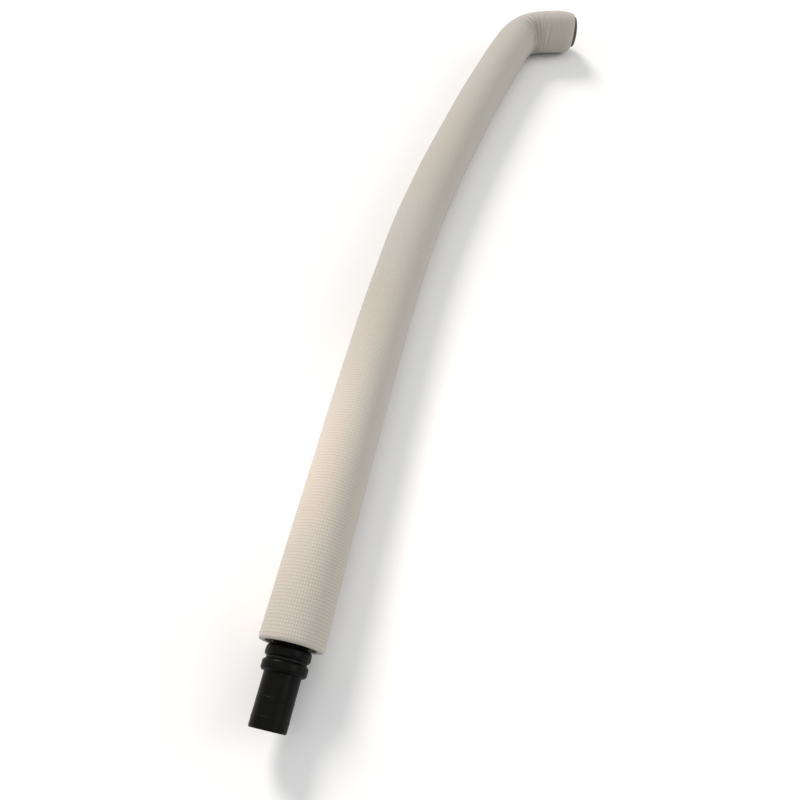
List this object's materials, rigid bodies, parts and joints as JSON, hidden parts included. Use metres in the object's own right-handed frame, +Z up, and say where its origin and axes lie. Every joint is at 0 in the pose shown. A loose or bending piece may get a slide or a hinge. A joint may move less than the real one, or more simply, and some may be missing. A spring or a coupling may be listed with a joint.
{
  "type": "pool cleaner hose section",
  "caption": "Suction hose section for a pool cleaner: corrugated hose in a padded knit sleeve, with a swivelling nose cuff at one end and a swivelling socket cuff at the other.",
  "frame": {"origin": "centre of the bounding box on the surface that the sleeve lies on", "axes": "+Z up, +Y along the straight part from the nose cuff towards the bend, +X to the side that the far end turns to"},
  "size_m": [0.2506, 1.3054, 0.0698],
  "materials": {
    "cuff_plastic": "moulded satin black",
    "socket_plastic": "moulded satin dark grey",
    "hose_plastic": "blow-moulded satin black",
    "washer_plastic": "smooth moulded black acetal",
    "seal_rubber": "smooth moulded",
    "clamp_steel": "brushed stainless",
    "liner_foam": "soft open foam",
    "sleeve_knit": "cream waffle knit",
    "hem_knit": "turned-in knit edge",
    "elastic_cord": "covered elastic"
  },
  "bodies": {
    "hose_body": {"hose": "hose_plastic", "foam_liner": "liner_foam", "knit_sleeve": "sleeve_knit", "near_hem": "hem_knit", "far_hem": "hem_knit", "far_hem_elastic": "elastic_cord", "near_spigot": "cuff_plastic", "near_thrust_washer": "washer_plastic", "near_o_ring": "seal_rubber", "near_clamp_band": "clamp_steel", "near_clamp_housing": "clamp_steel", "far_spigot": "cuff_plastic", "far_thrust_washer": "washer_plastic", "far_o_ring": "seal_rubber", "far_clamp_band": "clamp_steel", "far_clamp_housing": "clamp_steel"},
    "nose_cuff": {"near_cuff": "cuff_plastic", "near_retaining_ring": "clamp_steel"},
    "socket_cuff": {"far_cuff": "socket_plastic", "far_retaining_ring": "clamp_steel", "socket_seal": "seal_rubber"},
    "near_screw": {"near_clamp_screw": "clamp_steel"},
    "far_screw": {"far_clamp_screw": "clamp_steel"}
  },
  "joints": [
    {"name": "near_swivel", "type": "hinge", "parent": "hose_body", "child": "nose_cuff", "pos_m": [-0.09035, -0.5947, 0.035], "axis": [0, 1, 0], "continuous": true},
    {"name": "far_swivel", "type": "hinge", "parent": "hose_body", "child": "socket_cuff", "pos_m": [0.088, 0.6138, 0.035], "axis": [0.9755, 0.2199, 0], "continuous": true},
    {"name": "near_screw_turn", "type": "hinge", "parent": "hose_body", "child": "near_screw", "pos_m": [-0.09035, -0.5447, 0.0603], "axis": [1, 0, 0], "continuous": true},
    {"name": "far_screw_turn", "type": "hinge", "parent": "hose_body", "child": "far_screw", "pos_m": [0.0685, 0.6094, 0.0603], "axis": [0.2199, -0.9755, 0], "continuous": true}
  ]
}
